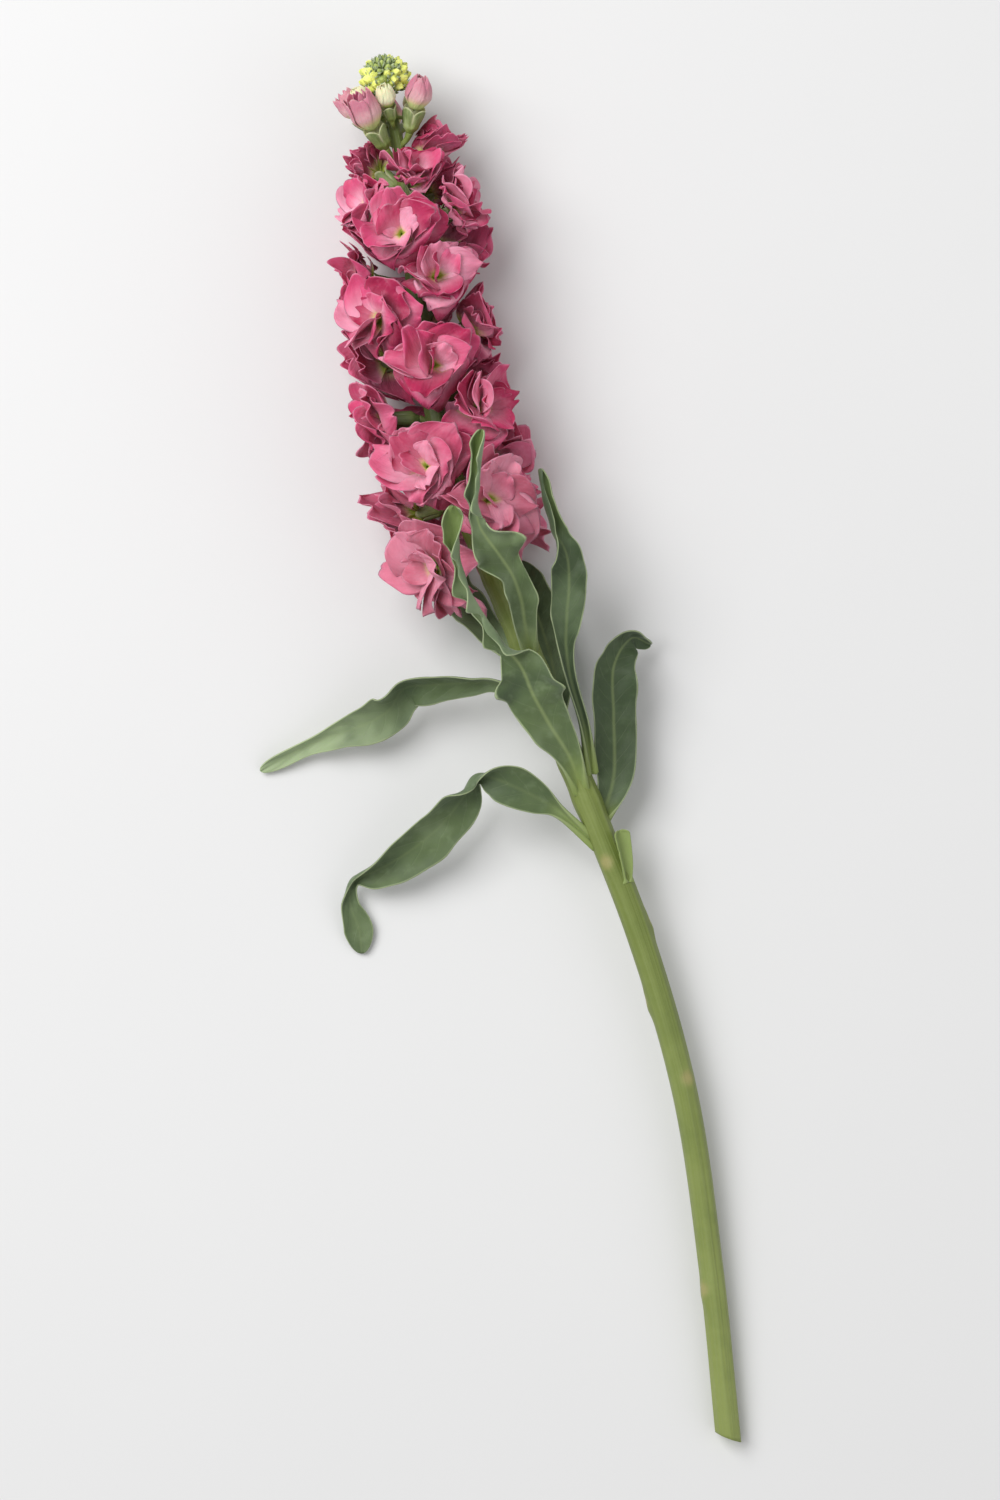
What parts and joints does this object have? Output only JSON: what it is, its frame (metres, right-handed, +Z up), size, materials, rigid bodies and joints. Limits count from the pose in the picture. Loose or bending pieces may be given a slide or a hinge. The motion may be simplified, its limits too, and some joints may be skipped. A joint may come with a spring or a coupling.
{
  "type": "stock flower stem",
  "caption": "Cut stem of double-flowered stock lying on its side: a spike of ruffled rose-pink blooms with buds at the tip, strap-shaped grey-green leaves and a bare curved stalk.",
  "frame": {"origin": "centre of the bounding box's bottom face, on the surface that the stem lies on", "axes": "+Y along the stem from its cut end to the flower tip, +Z up from the surface, +X to the right as the picture shows it"},
  "size_m": [0.167, 0.4785, 0.0687],
  "materials": {
    "stem_green": "smooth yellow-green plant stalk, faintly ridged, satin",
    "leaf_green": "felted grey-green leaf with a paler midrib and rim, matt",
    "petal_rose": "rose-pink petal, paler rim and yellow-green throat, soft matt",
    "bud_pink": "furled dusty-pink petals, soft matt",
    "bud_cream": "closed cream-green bud, soft matt",
    "bud_green": "young yellow-green buds with grey-green sepals, matt"
  },
  "bodies": {
    "root": {"bud_cream_01": "bud_cream", "bud_cream_02": "bud_cream", "bud_cream_03": "bud_cream", "bud_cream_04": "bud_cream", "bud_cream_05": "bud_cream", "bud_head": "bud_green", "bud_pink_01": "bud_pink", "bud_pink_02": "bud_pink", "bud_pink_03": "bud_pink", "bud_pink_04": "bud_pink", "floret_01": "petal_rose", "floret_02": "petal_rose", "floret_03": "petal_rose", "floret_04": "petal_rose", "floret_05": "petal_rose", "floret_06": "petal_rose", "floret_07": "petal_rose", "floret_08": "petal_rose", "floret_09": "petal_rose", "floret_10": "petal_rose", "floret_11": "petal_rose", "floret_12": "petal_rose", "floret_13": "petal_rose", "floret_14": "petal_rose", "floret_15": "petal_rose", "floret_16": "petal_rose", "floret_17": "petal_rose", "floret_18": "petal_rose", "floret_19": "petal_rose", "floret_20": "petal_rose", "floret_21": "petal_rose", "floret_22": "petal_rose", "floret_23": "petal_rose", "floret_24": "petal_rose", "floret_25": "petal_rose", "floret_26": "petal_rose", "leaf_front_strip": "leaf_green", "leaf_front_twisted": "leaf_green", "leaf_left_behind": "leaf_green", "leaf_lower_left": "leaf_green", "leaf_right_behind": "leaf_green", "leaf_right_broad": "leaf_green", "leaf_right_strip": "leaf_green", "leaf_stub": "leaf_green", "leaf_upper_left": "leaf_green", "stem": "stem_green"}
  },
  "joints": []
}
